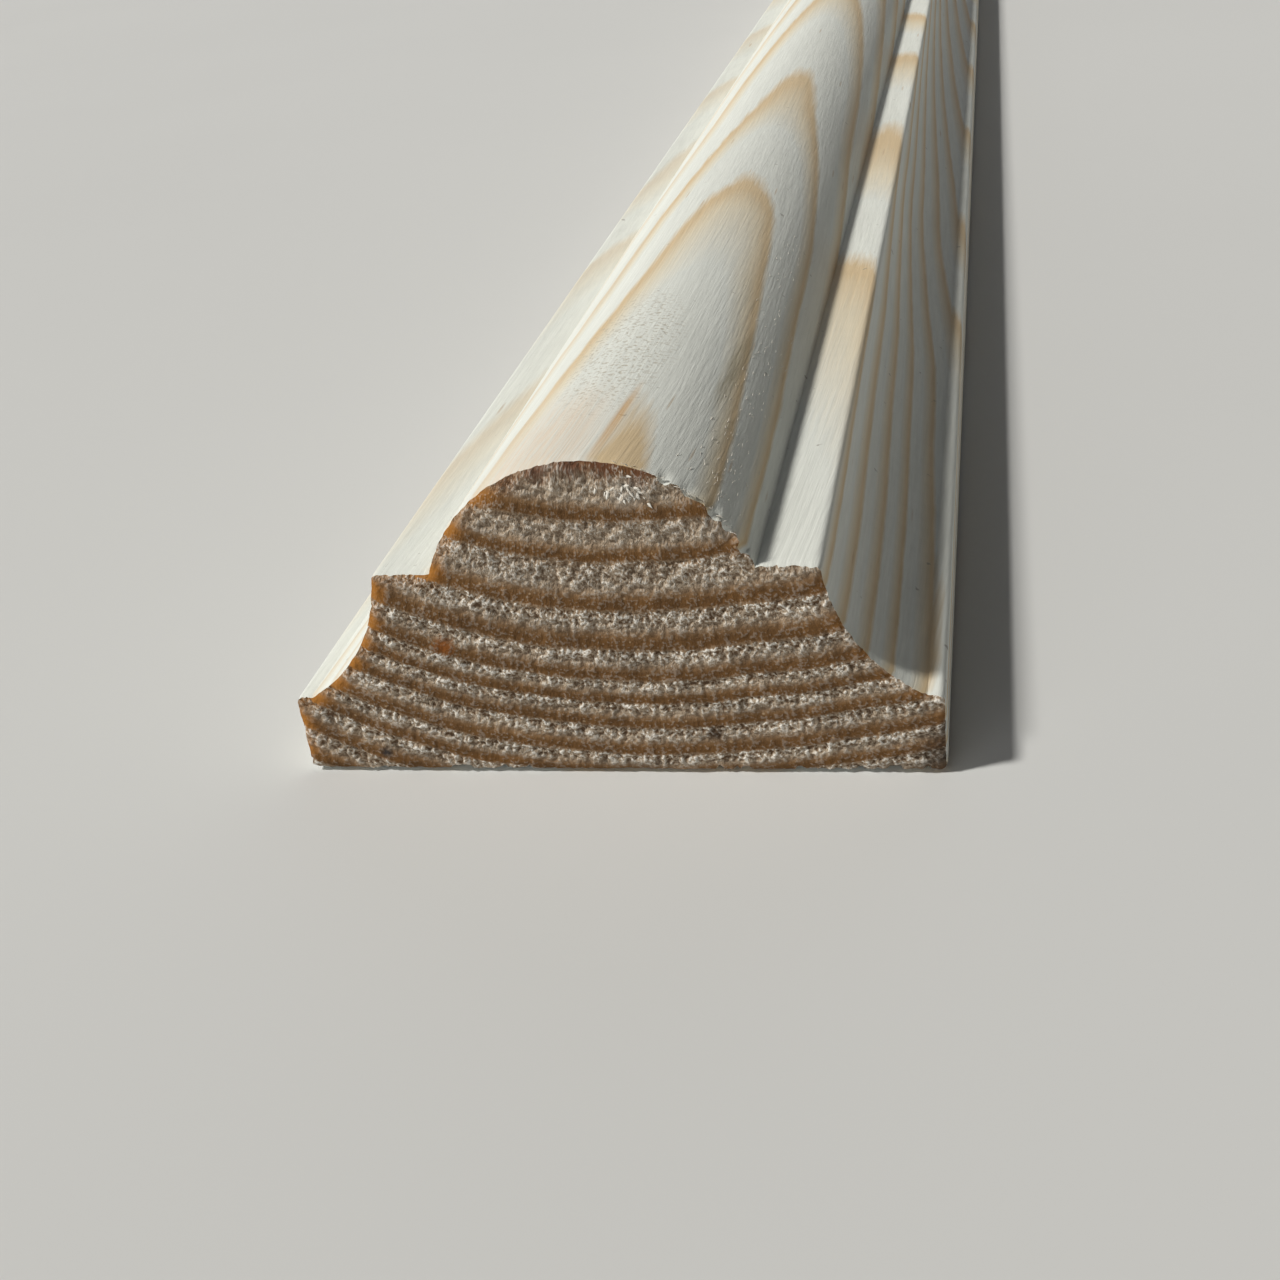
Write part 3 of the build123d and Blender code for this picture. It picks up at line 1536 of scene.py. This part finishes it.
    def _bake_map(self, mesh: bpy.types.Mesh, points: np.ndarray, around: np.ndarray) -> None:
        """Lays the faces out flat on one map.

        Args:
            mesh: The moulding's mesh.
            points: Its points in millimetres.
            around: Their distances round the outline.
        """
        corner = np.zeros(len(mesh.loops), np.int32)
        mesh.loops.foreach_get("vertex_index", corner)
        counts = np.zeros(len(mesh.polygons), np.int32)
        mesh.polygons.foreach_get("loop_total", counts)
        owner = np.repeat(np.arange(len(counts)), counts)
        x, y, z = points[corner].T
        run, total, half = around[corner], self.section.run[-1], self.section.half_width
        sawn = np.array(self.finishes)[owner] == Finish.SAWN.value
        on_back = (np.bincount(owner, z) / counts)[owner] < self.flat_back
        turned = np.where(run > total / 2, run - total, run)
        lay = self.layout
        over = lay.margin + (run - half) / (total - 2 * half) * lay.round_width
        u = np.where(on_back, lay.back_middle + turned / half * lay.back_half, over)
        v = lay.margin + (y / self.length + 0.5) * lay.length
        near, far = sawn & (y < 0), sawn & (y > 0)
        scale = lay.far_width / (2 * half)
        u = np.where(near, lay.near_left + z / lay.near_pixel_mm, u)
        v = np.where(near, lay.margin + (x + half) / lay.near_pixel_mm, v)
        u = np.where(far, lay.far_left + (half - x) * scale, u)
        v = np.where(far, lay.far_low + z * scale, v)
        flat = (np.stack([u, v], axis=1) / lay.size).astype(np.float32)
        mesh.uv_layers.new(name="OFBake").data.foreach_set("uv", flat.ravel())

    def dress(self, body: bpy.types.Object) -> None:
        """Gives the stock its two finishes and its place in the frame.

        Args:
            body: What build made.
        """
        body.data.materials.append(PlanedPine().material())
        body.data.materials.append(SawnEndGrain().material())
        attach(body, "root")
        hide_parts("moulding")


@dataclass(frozen=True)
class SliverKind:
    """How many slivers of one kind there are, and between which sizes they vary."""

    count: int
    root: Span
    reach: Span
    width: Span
    height: Span
    sunk: float = 0.0


@dataclass
class TornFibres:
    """Slivers that saw and cutters lifted: a tuft by the crown, a ragged arris, fuzz on the bead."""

    section: Section
    length: float = 1000.0
    tuft: SliverKind = SliverKind(34, (0.24, 0.32), (0.18, 0.48), (0.14, 0.34), (0.14, 0.24))
    tuft_at: Span = (2.45, 16.35)
    tuft_spread: Span = (0.5, 0.28)
    tuft_turn: Span = (-1.1, 0.8)
    arris: SliverKind = SliverKind(30, (0.28, 0.5), (0.1, 0.35), (0.10, 0.22), (0.16, 0.27), 0.15)
    arris_from_crown: Span = (-9.0, -2.0)
    arris_forward: float = 0.2
    fuzz: SliverKind = SliverKind(150, (1.5, 46.5), (0.15, 0.6), (0.04, 0.07), (0.06, 0.11), 0.04)
    fuzz_from_crown: Span = (-7.6, 1.1)
    fuzz_thinning: float = 1.6
    fuzz_sway: float = 0.08
    steps: int = 5
    half_thick: float = 0.012
    curl: float = 0.7
    taper: float = 0.85
    flutter: float = 0.3
    flutter_turn: float = 9.0
    behind_end: float = 0.005
    seed: int = 3
    places: list[np.ndarray] = field(init=False, default_factory=list)
    faces: list[tuple[int, ...]] = field(init=False, default_factory=list)

    def build(self) -> bpy.types.Object:
        """Makes every sliver as one object.

        Returns:
            The slivers, in metres.
        """
        rng = np.random.default_rng(self.seed)
        self._lift_tuft(rng)
        self._lift_arris(rng)
        self._lift_fuzz(rng)
        thing = new_object("torn_fibres", np.concatenate(self.places), self.faces)
        thing.data.validate()
        return thing

    def _lift_tuft(self, rng: np.random.Generator) -> None:
        """Lifts the white tuft out of the near end, to the right of the crown.

        Args:
            rng: The draws that all slivers share.
        """
        kind = self.tuft
        for _ in range(kind.count):
            x, z = self.tuft_at + rng.normal(0.0, 1.0, 2) * self.tuft_spread
            turn = rng.normal(*self.tuft_turn)
            size = rng.uniform(0.0, 1.0)
            start = np.array([x, rng.uniform(*kind.root) - self.length / 2, z])
            reach, width = np.interp(size, (0, 1), kind.reach), np.interp(size, (0, 1), kind.width)
            way = np.array([math.cos(turn), 0.0, math.sin(turn)])
            forward = np.array([0.0, -1.0, 0.0])
            self._sliver(start, way * reach, forward, width, rng.uniform(*kind.height))

    def _lift_arris(self, rng: np.random.Generator) -> None:
        """Lifts slivers along the near end's arris, on the bead's right.

        Args:
            rng: The draws that all slivers share.
        """
        kind = self.arris
        low, high = (self.section.run[-1] / 2 + place for place in self.arris_from_crown)
        for run in rng.uniform(low, high, kind.count):
            here, along, outward = self._surface(run)
            side = along * rng.choice([-1.0, 1.0])
            start = here + (0.0, rng.uniform(*kind.root), 0.0) - outward * kind.sunk
            reach = side * rng.uniform(*kind.reach) - (0.0, rng.uniform(0.0, self.arris_forward), 0.0)
            self._sliver(start, reach, outward, rng.uniform(*kind.width), rng.uniform(*kind.height))

    def _lift_fuzz(self, rng: np.random.Generator) -> None:
        """Lifts short fibres on the bead's right flank, fewer farther from the near end.

        Args:
            rng: The draws that all slivers share.
        """
        kind = self.fuzz
        middle, spread = self.fuzz_from_crown
        first, last = kind.root
        for run in rng.normal(self.section.run[-1] / 2 + middle, spread, kind.count):
            here, along, outward = self._surface(run)
            inset = first + (last - first) * rng.uniform(0.0, 1.0) ** self.fuzz_thinning
            start = here + (0.0, inset, 0.0) - outward * kind.sunk
            reach = along * rng.normal(0.0, self.fuzz_sway) + (0.0, rng.uniform(*kind.reach), 0.0)
            self._sliver(start, reach, outward, rng.uniform(*kind.width), rng.uniform(*kind.height))

    def _surface(self, run: float) -> tuple[np.ndarray, np.ndarray, np.ndarray]:
        """Finds a place on the near end's outline.

        Args:
            run: Distance round the outline.

        Returns:
            The point, the way round the outline and the way out from it.
        """
        here, ahead = self.section.at(np.array([run, run + NUDGE]))
        x, z = (ahead - here) / np.linalg.norm(ahead - here)
        point = np.array([here[0], -self.length / 2, here[1]])
        return point, np.array([x, 0.0, z]), np.array([z, 0.0, -x])

    def _sliver(
        self, start: np.ndarray, reach: np.ndarray, lift: np.ndarray, width: float, height: float
    ) -> None:
        """Adds one thin curled sliver.

        Args:
            start: Where it is still held by the wood.
            reach: How far and which way it runs.
            lift: The way it curls up.
            width: Its width at the root.
            height: How high the tip stands.
        """
        t = np.linspace(0.0, 1.0, self.steps + 1)[:, None]
        spine = start + reach * t + lift * height * t ** self.curl
        across = np.cross(reach, lift)
        across = across / np.linalg.norm(across)
        wave = 1.0 + self.flutter * np.sin(self.flutter_turn * t + start[0])
        side = across * (width / 2 * (1.0 - self.taper * t) * wave)
        thick = lift * self.half_thick
        rings = np.stack([spine + side, spine + thick, spine - side, spine - thick], axis=1)
        # No sliver stands out past the end of the stock.
        rings[:, :, 1] = np.maximum(rings[:, :, 1], self.behind_end - self.length / 2)
        first = sum(len(place) for place in self.places)
        self.places.append(rings.reshape(-1, 3))
        last = first + 4 * self.steps
        for low in range(first, last, 4):
            for i in range(4):
                j = (i + 1) % 4
                self.faces.append((low + i, low + j, low + 4 + j, low + 4 + i))
        self.faces.append((first + 3, first + 2, first + 1, first))
        self.faces.append((last, last + 1, last + 2, last + 3))

    def dress(self, slivers: bpy.types.Object) -> None:
        """Gives the slivers bare pale wood and their place in the frame.

        Args:
            slivers: What build made.
        """
        slivers.data.materials.append(TORN_PINE.material())
        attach(slivers, "root")


@dataclass(frozen=True)
class Lamp:
    """A lamp so far off that it lights the whole length alike.

    Its place is the way to it from the stock. Its spread is how wide it looks from there, in
    degrees, which softens its shadow.
    """

    name: str
    place: Triple
    spread: float
    level: float
    colour: str

    def hang(self, scene: bpy.types.Scene) -> None:
        """Puts the lamp in the scene.

        Args:
            scene: Where it goes.
        """
        data = bpy.data.lights.new(self.name, "SUN")
        data.angle, data.energy = math.radians(self.spread), self.level
        data.color = linear(self.colour)[:3]
        thing = bpy.data.objects.new(self.name, data)
        thing.location = self.place
        thing.rotation_euler = (-Vector(self.place)).to_track_quat("-Z", "Y").to_euler()
        scene.collection.objects.link(thing)


@dataclass
class Studio:
    """A pale floor, light from the left and a camera close to the sawn end."""

    floor_reach_m: float = 30.0
    floor_gap_m: float = 0.0002
    air: str = "#F1F1EF"
    air_level: float = 0.04
    backdrop_level: float = 0.65
    lens_mm: float = 46.67
    sensor_mm: float = 36.0
    closest_m: float = 0.004
    camera_at: Triple = (20.402, -572.206, 48.413)
    camera_turn_deg: Triple = (61.3449, 6.6531, 10.488)
    lamps: tuple[Lamp, ...] = (
        Lamp("key", (-0.82, -0.30, 1.04), 7.0, 2.8, "#FFFDF8"),
        Lamp("fill", (-0.80, -1.60, 0.40), 40.0, 0.72, "#FFFFFF"),
        Lamp("rear", (-0.20, 1.60, 0.50), 60.0, 0.25, "#EEF3FF"),
    )

    def build(self) -> None:
        """Sets up the camera, the floor and the light."""
        scene = bpy.context.scene
        scene.view_settings.view_transform = "Standard"
        self._camera(scene)
        self._floor(scene)
        for lamp in self.lamps:
            lamp.hang(scene)
        self._world(scene)

    def _camera(self, scene: bpy.types.Scene) -> None:
        """Places the camera where the photograph was taken from.

        Args:
            scene: Where it goes.
        """
        data = bpy.data.cameras.new("camera")
        data.lens, data.sensor_width, data.clip_start = self.lens_mm, self.sensor_mm, self.closest_m
        thing = bpy.data.objects.new("camera", data)
        turn = Euler([math.radians(angle) for angle in self.camera_turn_deg]).to_matrix().to_4x4()
        thing.matrix_world = Matrix.Translation(Vector(self.camera_at) * MM) @ turn
        scene.collection.objects.link(thing)
        scene.camera = thing

    def _floor(self, scene: bpy.types.Scene) -> None:
        """Lays the pale floor just under the stock.

        Args:
            scene: Where it goes.
        """
        corners = [(-1, -1), (1, -1), (1, 1), (-1, 1)]
        reach, level = self.floor_reach_m, -self.floor_gap_m
        mesh = bpy.data.meshes.new("floor")
        mesh.from_pydata([(x * reach, y * reach, level) for x, y in corners], [], [(0, 1, 2, 3)])
        mesh.materials.append(FLOOR_PAINT.material())
        thing = bpy.data.objects.new("floor", mesh)
        scene.collection.objects.link(thing)

    def _world(self, scene: bpy.types.Scene) -> None:
        """Adds weak light from all round, with a pale backdrop where the floor ends.

        Args:
            scene: Where it goes.
        """
        world = bpy.data.worlds.new("studio_air")
        world.use_nodes = True
        tree = world.node_tree
        rays = add(tree, "LightPath", ()).node.outputs
        seen = rays["Is Camera Ray"]
        for name in ("Is Glossy Ray", "Is Transmission Ray"):
            seen = add(tree, "Math", (seen, rays[name]), operation="MAXIMUM")
        level = add(tree, "MapRange", (seen, 0.0, 1.0, self.air_level, self.backdrop_level))
        feed(tree, tree.nodes["Background"], {"Color": linear(self.air), "Strength": level})
        scene.world = world


def main() -> None:
    """Builds the moulding and its studio in order and reports each piece."""
    logging.basicConfig(level=logging.INFO, format="%(name)s: %(message)s")
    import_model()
    Studio().build()
    stock = Moulding()
    for maker in (stock, TornFibres(stock.section, stock.length)):
        piece = maker.build()
        maker.dress(piece)
        mesh = piece.data
        LOG.info("%s: %d points, %d faces", piece.name, len(mesh.vertices), len(mesh.polygons))


if __name__ == "__main__":
    main()
